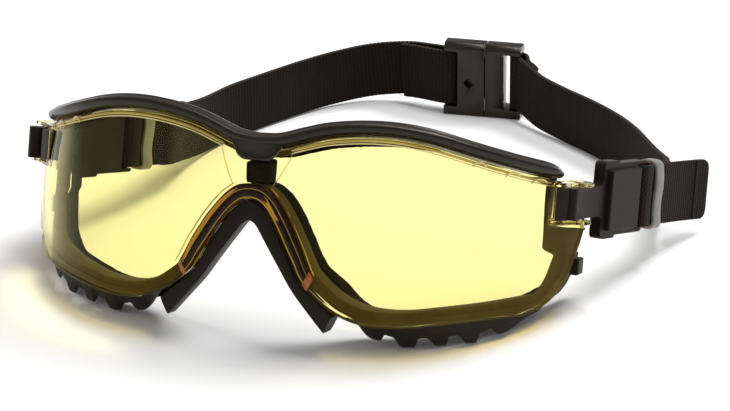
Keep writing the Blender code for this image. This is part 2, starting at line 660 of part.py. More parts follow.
def make_buckle():
    frame = empty("buckle_frame", (BUCKLE_X, BUCKLE_Y, 0), (0, 0, BUCKLE_TURN), WHOLE)
    half = BUCKLE_THICK / 2
    split = GAP / 2
    low, high = BUCKLE_MIDDLE - SLOT_HEIGHT / 2, BUCKLE_MIDDLE + SLOT_HEIGHT / 2

    socket = add_object("buckle_socket", box((-SOCKET_LENGTH, -half, 0), (-split, half, BUCKLE_HEIGHT)),
                        SATIN, frame)
    cut = box((-SOCKET_LENGTH - 1, -half - 1, low), (-CAVITY_LENGTH - SOCKET_WALL, half + 1, high))
    boolean(socket, add_cutter("socket_window", cut, frame), "DIFFERENCE")
    bar = rod((SOCKET_BAR, 0), BUCKLE_BAR_RADIUS, low - 0.4, high + 0.4, 12)
    boolean(socket, add_cutter("socket_bar", bar, frame), "UNION")
    room_y, room_z = TONGUE_THICK / 2 + 0.4, TONGUE_HEIGHT / 2 + 0.4
    cavity = box((-CAVITY_LENGTH, -room_y, BUCKLE_MIDDLE - room_z), (1, room_y, BUCKLE_MIDDLE + room_z))
    boolean(socket, add_cutter("socket_cavity", cavity, frame), "DIFFERENCE")
    latch = LATCH_SIZE * math.sqrt(0.5)
    diamond = [(LATCH_AT - latch, LATCH_HEIGHT), (LATCH_AT, LATCH_HEIGHT - latch),
               (LATCH_AT + latch, LATCH_HEIGHT), (LATCH_AT, LATCH_HEIGHT + latch)]
    hole = loft([[Vector((x, y, z)) for x, z in diamond] for y in (-half - 1, -0.9)])
    boolean(socket, add_cutter("socket_latch", hole, frame), "DIFFERENCE")

    plug = add_object("buckle_plug", box((split, -half, 0), (PLUG_LENGTH, half, BUCKLE_HEIGHT)), SATIN, frame)
    cut = box((PLUG_BODY, -half - 1, low), (PLUG_LENGTH + 1, half + 1, high))
    boolean(plug, add_cutter("plug_window", cut, frame), "DIFFERENCE")
    bar = rod((PLUG_BAR, 0), BUCKLE_BAR_RADIUS, low - 0.4, high + 0.4, 12)
    boolean(plug, add_cutter("plug_bar", bar, frame), "UNION")
    tongue = box((-TONGUE_LENGTH, -TONGUE_THICK / 2, BUCKLE_MIDDLE - TONGUE_HEIGHT / 2),
                 (1, TONGUE_THICK / 2, BUCKLE_MIDDLE + TONGUE_HEIGHT / 2))
    boolean(plug, add_cutter("plug_tongue", tongue, frame), "UNION")


# ---------------------------------------------------------------- build

clear_scene()
PARTS = collection("safety_goggles")
CUTTERS = collection("cutters")
AMBER = material("amber_polycarbonate", (0.95, 0.80, 0.22), 0.05, transmission=0.9)
SATIN = material("satin_black_plastic", (0.030, 0.026, 0.022), 0.38)
RUBBER = material("black_rubber", (0.022, 0.020, 0.018), 0.6)
FOAM = material("black_foam", (0.018, 0.017, 0.016), 0.95)
WEBBING = material("black_webbing", (0.012, 0.009, 0.009), 0.85)
KEEPER = material("grey_keeper", (0.25, 0.24, 0.23), 0.5)
STEEL = material("steel_pin", (0.55, 0.55, 0.56), 0.3, metallic=1.0)

WHOLE = empty("datum", (SHIFT_X, SHIFT_Y, 0), (0, 0, 0))
FRONT = empty("front_lean", (0, 0, LIFT), (-LEAN, 0, 0), WHOLE)
make_lens()
make_brow_bar()
make_gasket()
make_foam()
make_nose_pad()
for side, suffix, swing in ((1, "right", SWING_RIGHT), (-1, "left", SWING_LEFT)):
    make_hinge(side, suffix)
    arm = empty("pivot_" + suffix, (side * PIVOT_X, PIVOT_Y, PIVOT_Z), (0, 0, swing), FRONT)
    make_clip(side, suffix, arm)
    make_fold(side, suffix, arm, TAILS[suffix])
    make_keeper(suffix, arm)
make_strap(1, "right", SWING_RIGHT, ROUTE_RIGHT, SPARE_RIGHT)
make_strap(-1, "left", SWING_LEFT, ROUTE_LEFT, SPARE_LEFT)
make_buckle()
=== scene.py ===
"""Look of a pair of safety goggles: amber wrap lens, black brow bar, vented gasket and elastic strap.

Shapes are worked out in millimetres, in the same frames as the part: the front upright before it
leans back, each strap clip about its pivot, the buckle about its seam, and the surface for the straps.
"""
import math

import bmesh
import bpy
from mathutils import Matrix, Vector, noise


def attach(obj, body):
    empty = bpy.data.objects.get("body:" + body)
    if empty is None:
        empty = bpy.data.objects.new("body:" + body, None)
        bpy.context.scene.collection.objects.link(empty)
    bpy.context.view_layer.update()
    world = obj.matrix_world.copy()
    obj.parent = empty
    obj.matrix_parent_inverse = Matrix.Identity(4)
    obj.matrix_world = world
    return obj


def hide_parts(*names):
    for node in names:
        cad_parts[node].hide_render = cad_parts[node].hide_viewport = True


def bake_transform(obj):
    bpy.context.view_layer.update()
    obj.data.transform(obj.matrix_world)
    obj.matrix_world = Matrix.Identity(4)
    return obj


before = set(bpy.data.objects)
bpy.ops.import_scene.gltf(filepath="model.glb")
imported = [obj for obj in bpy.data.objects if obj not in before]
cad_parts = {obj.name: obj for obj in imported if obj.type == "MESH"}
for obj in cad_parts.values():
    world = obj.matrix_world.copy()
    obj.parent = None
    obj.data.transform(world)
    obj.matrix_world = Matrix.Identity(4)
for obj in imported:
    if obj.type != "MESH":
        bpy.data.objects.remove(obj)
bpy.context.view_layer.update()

# ---------------------------------------------------------------- dimensions, in millimetres

LEAN = math.radians(16.0)
SHIFT = Vector((-7.94, -77.75, 0.0))
LIFT = 0.19

LENS_THICKNESS = 2.2
BROW_DEPTH = 3.0
BROW_HEIGHT = 2.0
FOAM_DEPTH = 7.0
PAD_DEPTH = 7.0
TOOTH_GAPS = (34.4, 41.9, 48.7, 55.5)

PIVOT = Vector((71.6, 30.5, 37.4))
SWINGS = {"right": math.radians(-15.0), "left": math.radians(-20.0)}
SIDES = {"right": 1, "left": -1}
PIN_HOLE = 1.2
PORT_HEIGHT = 10.6
PORT_WALL = 1.0
REAR_LIMIT = 37.5

WEB_WIDTH = 15.8
WEB_THICK = 1.3
PICOT_PITCH = 1.15
FOLD_END = 44.5
LAYER_OFFSET = 1.05
BAR_AT = 30.6
BAR_RADIUS = 1.1
GAP = 0.3
KEEPER_AT = 37.2
KEEPER_LENGTH = 4.2

# Strap clip: distances along it from its pivot, then half heights
NECK_END = 9.8
EAR_END = 17.4
SLOT_START = 27.5
CLIP_END = 31.8
CLIP_HALF_THICK = 1.9
NECK_HALF = 3.9
EAR_HALF = 9.9
FRAME_HALF = 9.2

BUCKLE_AT = (12.0, 162.0)
BUCKLE_TURN = math.radians(4.0)
BUCKLE_HEIGHT = 21.4
BUCKLE_THICK = 6.0
BUCKLE_BARS = {"right": 9.4, "left": -10.8}
BUCKLE_BAR_RADIUS = 1.0
WINDOW_FOOT, WINDOW_TOP = 2.4, 19.0

MILLI = Matrix.Scale(0.001, 4)
SURFACE = Matrix.Translation(SHIFT * 0.001) @ MILLI
STAND = SHIFT + Vector((0, 0, LIFT))
UPRIGHT = Matrix.Translation(STAND * 0.001) @ Matrix.Rotation(-LEAN, 4, "X") @ MILLI
BUCKLE = SURFACE @ Matrix.Translation((*BUCKLE_AT, 0)) @ Matrix.Rotation(BUCKLE_TURN, 4, "Z")


def arm_frame(suffix):
    """A strap clip's own frame: its pivot at the origin, the clip running along +Y."""
    place = Vector((SIDES[suffix] * PIVOT.x, PIVOT.y, PIVOT.z))
    return UPRIGHT @ Matrix.Translation(place) @ Matrix.Rotation(SWINGS[suffix], 4, "Z")


# ---------------------------------------------------------------- materials

def shader(name):
    made = bpy.data.materials.new(name)
    made.use_nodes = True
    return made, made.node_tree.nodes, made.node_tree.links, made.node_tree.nodes["Principled BSDF"]


def moulded(name, dark, light, roughness, grain=900.0, bump=0.12, spread=0.08, shine=0.5):
    """An opaque moulding or foam: colour that drifts a little, fine grain in bump and roughness."""
    made, nodes, links, main = shader(name)
    where = nodes.new("ShaderNodeTexCoord")
    drift = nodes.new("ShaderNodeTexNoise")
    drift.inputs["Scale"].default_value = 90.0
    drift.inputs["Detail"].default_value = 4.0
    fine = nodes.new("ShaderNodeTexNoise")
    fine.inputs["Scale"].default_value = grain
    fine.inputs["Detail"].default_value = 3.0
    colours = nodes.new("ShaderNodeValToRGB")
    colours.color_ramp.elements[0].color = (*dark, 1.0)
    colours.color_ramp.elements[0].position = 0.3
    colours.color_ramp.elements[1].color = (*light, 1.0)
    colours.color_ramp.elements[1].position = 0.75
    rough = nodes.new("ShaderNodeMapRange")
    rough.inputs["To Min"].default_value = roughness - spread
    rough.inputs["To Max"].default_value = roughness + spread
    lift = nodes.new("ShaderNodeBump")
    lift.inputs["Strength"].default_value = bump
    lift.inputs["Distance"].default_value = 0.0002
    for texture in (drift, fine):
        links.new(where.outputs["Object"], texture.inputs["Vector"])
    links.new(drift.outputs["Fac"], colours.inputs["Fac"])
    links.new(colours.outputs["Color"], main.inputs["Base Color"])
    links.new(fine.outputs["Fac"], rough.inputs["Value"])
    links.new(rough.outputs["Result"], main.inputs["Roughness"])
    links.new(fine.outputs["Fac"], lift.inputs["Height"])
    links.new(lift.outputs["Normal"], main.inputs["Normal"])
    main.inputs["Specular IOR Level"].default_value = shine
    main.inputs["Specular Tint"].default_value = (1.0, 0.92, 0.80, 1.0)
    return made


def clear(name, colour, shadow, roughness, ior=1.45):
    """Clear plastic that lets the lamps through, tinted."""
    made, nodes, links, main = shader(name)
    main.inputs["Base Color"].default_value = (*colour, 1.0)
    main.inputs["Roughness"].default_value = roughness
    main.inputs["Transmission Weight"].default_value = 1.0
    main.inputs["IOR"].default_value = ior
    through = nodes.new("ShaderNodeBsdfTransparent")
    through.inputs["Color"].default_value = (*shadow, 1.0)
    path = nodes.new("ShaderNodeLightPath")
    mix = nodes.new("ShaderNodeMixShader")
    out = nodes["Material Output"]
    links.new(path.outputs["Is Shadow Ray"], mix.inputs["Fac"])
    links.new(main.outputs["BSDF"], mix.inputs[1])
    links.new(through.outputs["BSDF"], mix.inputs[2])
    links.new(mix.outputs["Shader"], out.inputs["Surface"])
    return made


def webbing(name, dark, light, edge=False):
    """Woven elastic: zigzag ribs across the width, with yarns along the strap, coloured darker in the
    weave's troughs as painted shade and lighter on its ribs as painted highlight.
    """
    made, nodes, links, main = shader(name)
    where = nodes.new("ShaderNodeTexCoord")
    split = nodes.new("ShaderNodeSeparateXYZ")
    links.new(where.outputs["UV"], split.inputs["Vector"])

    def math_node(kind, first, second=None):
        made_node = nodes.new("ShaderNodeMath")
        made_node.operation = kind
        for socket, value in zip(made_node.inputs, (first, second)):
            if value is None:
                continue
            if isinstance(value, (int, float)):
                socket.default_value = value
            else:
                links.new(value, socket)
        return made_node.outputs["Value"]

    along = math_node("MULTIPLY", split.outputs["X"], 2 * math.pi / PICOT_PITCH)
    across = math_node("MULTIPLY", split.outputs["Y"], 2 * math.pi / 1.3)
    wave = math_node("SINE", math_node("MULTIPLY", across, 0.5))
    zigzag = math_node("MULTIPLY", math_node("ABSOLUTE", wave), 2.6)
    ribs = math_node("SINE", math_node("ADD", along, zigzag))
    yarns = math_node("SINE", math_node("MULTIPLY", across, 2.0))
    height = math_node("ADD", math_node("MULTIPLY", ribs, 0.35), math_node("MULTIPLY", yarns, 0.15))
    fuzz = nodes.new("ShaderNodeTexNoise")
    fuzz.inputs["Scale"].default_value = 2600.0
    links.new(where.outputs["Object"], fuzz.inputs["Vector"])
    total = math_node("ADD", height, math_node("MULTIPLY", fuzz.outputs["Fac"], 0.5))
    # Colour follows the weave's height: painted shade in the troughs, painted highlight on the ribs, plus
    # random fuzz
    colours = nodes.new("ShaderNodeValToRGB")
    colours.color_ramp.elements[0].color = (*dark, 1.0)
    colours.color_ramp.elements[0].position = 0.05
    colours.color_ramp.elements[1].color = (*light, 1.0)
    colours.color_ramp.elements[1].position = 0.95
    shade_and_highlight_by_height = math_node("ADD", total, 0.25)
    links.new(shade_and_highlight_by_height, colours.inputs["Fac"])
    links.new(colours.outputs["Color"], main.inputs["Base Color"])
    lift = nodes.new("ShaderNodeBump")
    lift.inputs["Strength"].default_value = 0.9 if edge else 0.55
    lift.inputs["Distance"].default_value = 0.00022
    links.new(total, lift.inputs["Height"])
    links.new(lift.outputs["Normal"], main.inputs["Normal"])
    main.inputs["Roughness"].default_value = 0.85
    main.inputs["Sheen Weight"].default_value = 0.04
    main.inputs["Sheen Roughness"].default_value = 0.5
    main.inputs["Specular IOR Level"].default_value = 0.12
    return made


LENS = clear("lens_amber", (0.925, 0.845, 0.35), (0.96, 0.90, 0.62), 0.01, 1.12)
LENS_EDGE = clear("lens_edge", (0.80, 0.56, 0.07), (0.85, 0.68, 0.22), 0.05)
PORT = clear("port_amber", (0.90, 0.76, 0.34), (0.90, 0.76, 0.35), 0.04, 1.3)
FLANGE = clear("nose_flange_amber", (0.34, 0.16, 0.025), (0.5, 0.25, 0.06), 0.08, 1.25)
# Bright gold standing for light caught by the amber: painted highlight lines on the nose rib and along the
# lens's top edge
HIGHLIGHT_LINE = moulded("painted_highlight_gold", (0.36, 0.25, 0.03), (0.62, 0.47, 0.08), 0.16,
               grain=600.0, bump=0.02, spread=0.04)
# Pale gold standing for glints: a painted highlight line under the brow bar and painted highlights on the
# vents
PALE_HIGHLIGHT = moulded("painted_highlight_pale_gold", (0.62, 0.50, 0.16), (0.85, 0.74, 0.36), 0.12,
               grain=600.0, bump=0.02, spread=0.04)
ORANGE = moulded("orange_end", (0.26, 0.07, 0.008), (0.40, 0.12, 0.015), 0.16,
                 grain=600.0, bump=0.02, spread=0.04)
SATIN = moulded("satin_black_nylon", (0.008, 0.006, 0.0044), (0.013, 0.0098, 0.0072), 0.25,
                grain=1400.0, bump=0.06, spread=0.05, shine=0.3)
CLIP = moulded("satin_clip_nylon", (0.010, 0.0068, 0.0036), (0.017, 0.0118, 0.0066), 0.45,
               grain=1400.0, spread=0.06, shine=0.12)
RUBBER = moulded("black_rubber", (0.005, 0.0036, 0.0021), (0.009, 0.0066, 0.0040), 0.5,
                 grain=1100.0, shine=0.2)
GASKET_FACE = moulded("gasket_face", (0.060, 0.042, 0.012), (0.105, 0.078, 0.026), 0.6,
                      grain=700.0, bump=0.08, spread=0.06, shine=0.25)
FOAM = moulded("black_foam", (0.004, 0.003, 0.0025), (0.010, 0.008, 0.006), 0.95,
               grain=1500.0, bump=0.8, spread=0.04, shine=0.1)
WEB = webbing("black_webbing", (0.0040, 0.0025, 0.0017), (0.0145, 0.0095, 0.0068))
# The lighter colour along the strap's edges is a painted sheen; the stronger bump is the picot texture
WEB_EDGE_SHEEN = webbing("webbing_edge_sheen", (0.006, 0.0042, 0.0034), (0.034, 0.026, 0.021), True)
KEEPER = moulded("grey_keeper", (0.15, 0.145, 0.14), (0.25, 0.24, 0.23), 0.42,
                 grain=800.0, bump=0.1, spread=0.06)
KEEPER.node_tree.nodes["Principled BSDF"].inputs["Subsurface Weight"].default_value = 0.15
STEEL = moulded("brushed_steel", (0.42, 0.41, 0.40), (0.58, 0.57, 0.55), 0.3, grain=2500.0, bump=0.05)
STEEL.node_tree.nodes["Principled BSDF"].inputs["Metallic"].default_value = 1.0


# ---------------------------------------------------------------- mesh helpers

def add(name, shape, place, skins, body, replaced=(), sharp=38):
    """Turn a bmesh in millimetres into a named piece, which rides on a body if one is given."""
    bmesh.ops.transform(shape, matrix=place, verts=shape.verts)
    bmesh.ops.recalc_face_normals(shape, faces=shape.faces)
    mesh = bpy.data.meshes.new(name)
    shape.to_mesh(mesh)
    shape.free()
    for skin in skins if isinstance(skins, (list, tuple)) else [skins]:
        mesh.materials.append(skin)
    mesh.shade_smooth()
    mesh.set_sharp_from_angle(angle=math.radians(sharp))
    made = bpy.data.objects.new(name, mesh)
    bpy.context.scene.collection.objects.link(made)
    if body:
        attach(made, body)
    if replaced:
        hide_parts(*replaced)
    return made


def loft(rings, closed=False, uv=None, skin_of=None):
    """Skin between equal rings of points. uv gives each ring's and each point's own coordinate."""
    shape = bmesh.new()
    layer = shape.loops.layers.uv.new("weave") if uv else None
    rows = [[shape.verts.new(point) for point in ring] for ring in rings]
    count = len(rows[0])
    spans = list(range(len(rows) - 1)) + ([len(rows) - 1] if closed else [])
    for r in spans:
        first, second = rows[r], rows[(r + 1) % len(rows)]
        for i in range(count):
            j = (i + 1) % count
            face = shape.faces.new((first[i], first[j], second[j], second[i]))
            if skin_of:
                face.material_index = skin_of(r, i)
            if layer:
                values = ((r, i), (r, i + 1), (r + 1, i + 1), (r + 1, i))
                for corner, (a, b) in zip(face.loops, values):
                    corner[layer].uv = (uv[0][a], uv[1][b])
    if not closed:
        shape.faces.new(rows[0])
        shape.faces.new(rows[-1])
    return shape


def rounded(corners, radii, steps=3):
    """A closed outline with each corner rounded, by one radius or by each corner's own."""
    out = []
    count = len(corners)
    for i, here in enumerate(corners):
        here = Vector(here)
        radius = radii[i] if isinstance(radii, (list, tuple)) else radii
        before, after = Vector(corners[i - 1]), Vector(corners[(i + 1) % count])
        start = here + (before - here) * min(0.48, radius / max(1e-6, (before - here).length))
        end = here + (after - here) * min(0.48, radius / max(1e-6, (after - here).length))
        for k in range(steps + 1):
            t = k / steps
            out.append(start * (1 - t) ** 2 + here * 2 * t * (1 - t) + end * t * t)
    return out


def smooth(points, steps):
    """Catmull-Rom curve through points of any dimension."""
    padded = [points[0]] + list(points) + [points[-1]]
    curve = []
    for a, b, c, d in zip(padded, padded[1:], padded[2:], padded[3:]):
        for step in range(steps):
            t = step / steps
            curve.append(tuple(
                0.5 * (2 * q + (r - p) * t + (2 * p - 5 * q + 4 * r - s) * t * t
                       + (3 * q - p - 3 * r + s) * t ** 3)
                for p, q, r, s in zip(a, b, c, d)))
    curve.append(tuple(float(value) for value in points[-1]))
    return curve


def even(points, count):
    """Points at even spacing along a polyline."""
    lengths = [0.0]
    for a, b in zip(points, points[1:]):
        lengths.append(lengths[-1] + math.dist(a, b))
    out = []
    k = 0
    for i in range(count):
        want = lengths[-1] * i / (count - 1)
        while k < len(points) - 2 and lengths[k + 1] < want:
            k += 1
        t = (want - lengths[k]) / max(1e-9, lengths[k + 1] - lengths[k])
        out.append(tuple(p + (q - p) * t for p, q in zip(points[k], points[k + 1])))
    return out


def between(knots, x):
    """The value at x, easing in and out between knots of (x, value)."""
    if x <= knots[0][0]:
        return knots[0][1]
    for (x0, v0), (x1, v1) in zip(knots, knots[1:]):
        if x <= x1:
            t = (x - x0) / (x1 - x0)
            return v0 + (v1 - v0) * t * t * (3 - 2 * t)
    return knots[-1][1]


def along_line(knots, x):
    """The value at x on straight lines between knots of (x, value)."""
    for (x0, v0), (x1, v1) in zip(knots, knots[1:]):
        if x <= x1:
            return v0 + (v1 - v0) * (x - x0) / (x1 - x0)
    return knots[-1][1]


def length_of(path):
    """The length of a path of (centre, width way) pairs."""
    return sum((b[0] - a[0]).length for a, b in zip(path, path[1:]))


def soften(piece, width, segments=3, angle=40):
    """Round a piece's edges that are sharper than the angle."""
    change = piece.modifiers.new("edges", "BEVEL")
    change.width = width * 0.001
    change.segments = segments
    change.limit_method = "ANGLE"
    change.angle_limit = math.radians(angle)


def cut(piece, shape, place, operation="DIFFERENCE"):
    """Carve or join a bmesh given in millimetres, and leave no modifier behind."""
    tool = add("tool", shape, place, SATIN, None)
    change = piece.modifiers.new("cut", "BOOLEAN")
    change.operation = operation
    change.object = tool
    change.solver = "EXACT"
    bpy.context.view_layer.update()
    result = bpy.data.meshes.new_from_object(piece.evaluated_get(bpy.context.evaluated_depsgraph_get()))
    piece.modifiers.remove(change)
    piece.data = result
    bpy.data.objects.remove(tool, do_unlink=True)


def prism(outline, low, high):
    """An (x, y) outline drawn out from low to high along Z."""
    return loft([[Vector((x, y, z)) for x, y in outline] for z in (low, high)])


def prism_along_x(outline, low, high):
    return loft([[Vector((x, y, z)) for y, z in outline] for x in (low, high)])


def prism_along_y(outline, low, high):
    return loft([[Vector((x, y, z)) for x, z in outline] for y in (low, high)])


def box(low, high):
    outline = [(low[0], low[1]), (high[0], low[1]), (high[0], high[1]), (low[0], high[1])]
    return prism(outline, low[2], high[2])


def rod(centre, radius, low, high, sides=32):
    turns = [2 * math.pi * i / sides for i in range(sides)]
    circle = [(centre[0] + radius * math.cos(a), centre[1] + radius * math.sin(a)) for a in turns]
    return prism(circle, low, high)


def tube(points, radius, sides=8):
    """A closed round tube along 3-D points, tapered to its ends."""
    rings = []
    turns = [2 * math.pi * k / sides for k in range(sides)]
    last = len(points) - 1
    for i, point in enumerate(points):
        along = (points[min(i + 1, last)] - points[max(i - 1, 0)]).normalized()
        side = along.cross(Vector((0, 0, 1))).normalized()
        up = side.cross(along)
        size = radius * min(1.0, 0.35 + 0.3 * min(i, last - i))
        rings.append([point + side * size * math.cos(a) + up * size * math.sin(a) for a in turns])
    return loft(rings)


# ---------------------------------------------------------------- the lens surface and outline

def lens_y(x, z):
    """The lens's front surface."""
    return -15.0 + 40.0 * (abs(x) / 70.0) ** 3.8 + (z - 24.0) ** 2 / 160.0


def lens_point(x, z, depth=0.0):
    """A point at a depth behind the lens's front surface, along its normal."""
    step = 0.01
    slope_x = (lens_y(x + step, z) - lens_y(x - step, z)) / (2 * step)
    slope_z = (lens_y(x, z + step) - lens_y(x, z - step)) / (2 * step)
    return Vector((x, lens_y(x, z), z)) + depth * Vector((-slope_x, 1.0, -slope_z)).normalized()


def face_y(x):
    """Where the gasket's rear edge meets the face."""
    return -5.8 + 52.0 * (abs(x) / 73.0) ** 3.2


RIM_LINE = [(0.0, -5.8), (17.0, -5.3), (24.0, -3.0), (31.0, -0.9), (37.0, 0.6), (45.0, 3.1), (52.6, 7.2),
            (57.0, 10.8), (63.0, 18.5), (70.0, 33.0)]
RIM_CURVE = smooth(RIM_LINE, 4)


def rim_y(x):
    """Where the toothed rim runs, along the bottom."""
    return along_line(RIM_CURVE, abs(x))


def seat_y(x, z):
    """The gasket's rear face, on which the foam sits."""
    rear = max(face_y(x), rim_y(x)) if z < 20.0 else face_y(x)
    return min(REAR_LIMIT, rear)


# Right halves of the outlines seen from the front, as (x, z)
TOP_EDGE = [(0, 46.6), (6, 47.2), (12, 49.2), (18, 51.0), (26, 52.2), (34, 52.4), (42, 51.4), (50, 49.2),
            (58, 46.6), (64, 44.5), (68.2, 43.1)]
SIDE_EDGE = [(68.2, 43.1), (71.6, 38.0), (73.0, 32.0), (72.2, 25.0), (70.6, 17.5), (67.6, 12.2), (63.5, 9.7)]
BOTTOM_EDGE = [(63.5, 9.7), (58, 9.0), (52, 8.2), (46, 7.3), (40, 6.4), (34, 6.0), (28, 6.6), (22, 9.0),
               (17, 12.8)]
NOSE_EDGE = [(17, 12.8), (13.5, 16.6), (9.8, 23.7), (7.3, 28.3), (4.7, 32.1), (2.2, 34.2), (0, 34.6)]
PAD_INNER = [(20.2, 3.2), (15.6, 8.6), (11.9, 13.1), (8.0, 19.0), (3.9, 25.1), (1.7, 28.2), (0, 29.2)]
PAD_OUTER = [(22.2, 7.4), (16.6, 12.4), (13.1, 16.2), (9.8, 22.4), (6.8, 28.0), (4.2, 31.9), (0, 34.4)]
FLANGE_INNER = [(16.0, 13.4), (13.4, 16.8), (12.3, 19.0), (9.8, 23.3), (7.3, 27.7), (4.7, 31.4),
                (2.2, 33.6), (0, 34.1)]
FLANGE_OUTER = [(17.6, 16.6), (16.0, 19.8), (14.5, 23.2), (12.6, 26.7), (10.7, 30.0), (7.2, 34.8),
                (3.9, 37.6), (0, 38.4)]
# How far out the gasket may reach beside the ports, as (z, x): all of it, and its front face alone
PORT_LIMIT = [(19.0, 76.0), (26.5, 65.3), (43.2, 64.8), (50.0, 76.0)]
FACE_LIMIT = [(30.6, 76.0), (31.2, 65.3), (43.2, 64.8), (44.5, 76.0)]
# Places along the whole outline
TOP, HEEL, NOSE_FOOT, BRIDGE = 0.0, 0.55, 0.82, 1.0


def both_halves(edge, count):
    """An outline from its foot on the right, over the middle, to its foot on the left."""
    half = even(smooth(edge, 8), count)
    return half + [(-x, z) for x, z in reversed(half[:-1])]


def whole_outline(fine):
    """The closed outline with the way in at each point and its place from 0 (top) to 1 (nose)."""
    counts = [(TOP_EDGE, 16), (SIDE_EDGE, 9), (BOTTOM_EDGE, 12), (NOSE_EDGE, 8)]
    half = []
    for edge, count in counts:
        half += even(smooth(edge, 8), count * fine + 1)[:-1]
    half.append(NOSE_EDGE[-1])
    last = len(half) - 1
    marks = [i / last for i in range(len(half))]
    loop = half + [(-x, z) for x, z in reversed(half[1:-1])]
    marks = marks + list(reversed(marks[1:-1]))
    out = []
    reach = 2
    for i, (x, z) in enumerate(loop):
        (x0, z0), (x1, z1) = loop[i - reach], loop[(i + reach) % len(loop)]
        along = Vector((x1 - x0, z1 - z0)).normalized()
        out.append((x, z, along.y, -along.x, marks[i]))
    return out


def step_in(z):
    """How far in the gasket's face starts at height z, for the square steps down its side."""
    stepped = any(low < z < high for low, high in ((13.5, 17.0), (20.5, 24.0), (27.0, 29.5)))
    return 0.9 if stepped else 0.0


def clear_of_port(x, z, margin):
    """The same x, pulled in where it would reach a port."""
    return math.copysign(min(abs(x), between(PORT_LIMIT, z) - margin), x)


# ---------------------------------------------------------------- front pieces

def make_lens():
    """A sheet between the outlines, mirrored, thickened along its normals and walled round its edge."""
    rows, columns = 34, 96
    top = even(smooth(TOP_EDGE, 8), columns)
    lower = even(smooth(list(reversed(BOTTOM_EDGE + NOSE_EDGE[1:])), 8), columns)
    side = even(smooth(list(reversed(SIDE_EDGE)), 8), rows)
    shape = bmesh.new()
    grid = []
    for j in range(rows):
        v = j / (rows - 1)
        line = []
        for i in range(columns):
            u = i / (columns - 1)
            ends = [(1 - v) * lower[-1][k] + v * top[-1][k] for k in (0, 1)]
            x, z = [(1 - v) * lower[i][k] + v * top[i][k] + u * (side[j][k] - ends[k]) for k in (0, 1)]
            line.append(shape.verts.new((x, lens_y(x, z), z)))
        grid.append(line)
    for a, b in zip(grid, grid[1:]):
        for i in range(columns - 1):
            shape.faces.new((a[i], a[i + 1], b[i + 1], b[i]))
    halves = bmesh.ops.duplicate(shape, geom=shape.verts[:] + shape.edges[:] + shape.faces[:])["geom"]
    bmesh.ops.scale(shape, vec=(-1, 1, 1), verts=[g for g in halves if isinstance(g, bmesh.types.BMVert)])
    bmesh.ops.reverse_faces(shape, faces=[g for g in halves if isinstance(g, bmesh.types.BMFace)])
    bmesh.ops.remove_doubles(shape, verts=shape.verts, dist=0.001)
    rear = {}
    for vert in shape.verts[:]:
        rear[vert] = shape.verts.new(lens_point(vert.co.x, vert.co.z, LENS_THICKNESS))
    edges = [e for e in shape.edges if e.is_boundary]
    faces = shape.faces[:]
    for face in faces:
        shape.faces.new([rear[v] for v in reversed(face.verts)])
    for edge in edges:
        a, b = edge.verts
        wall = shape.faces.new((a, b, rear[b], rear[a]))
        wall.material_index = 1
    lens = add("lens_clear", shape, UPRIGHT, [LENS, LENS_EDGE], "front", ["lens"])
    soften(lens, 0.4, 2, 60)


def make_ports():
    """The clear loop at each side that holds the strap clip."""
    half = PORT_HEIGHT / 2
    inside = half - PORT_WALL
    reach = 3.4
    arc = [math.radians(a) for a in range(-40, 141, 10)]
    round_end = [(PIVOT.x + reach * math.cos(a), PIVOT.y + reach * math.sin(a)) for a in arc]
    outline = [(66.6, 19.2), (68.6, 21.6), (71.6, 26.2)] + round_end + [(66.9, 29.0), (65.9, 23.4)]
    pocket = [(67.4, 20.9), (90.0, 20.9), (90.0, 45.0), (60.0, 45.0), (60.0, 33.2), (67.4, 31.5)]
    for suffix, side in SIDES.items():
        solid, hollow = [[(side * x, y) for x, y in points] for points in (outline, pocket)]
        port = add("lens_port_" + suffix, prism(solid, PIVOT.z - half, PIVOT.z + half), UPRIGHT, PORT,
                   "front")
        cut(port, prism(hollow, PIVOT.z - inside, PIVOT.z + inside), UPRIGHT)
        cut(port, rod((side * PIVOT.x, PIVOT.y), PIN_HOLE, PIVOT.z - half - 1, PIVOT.z + half + 1), UPRIGHT)
        soften(port, 0.35)


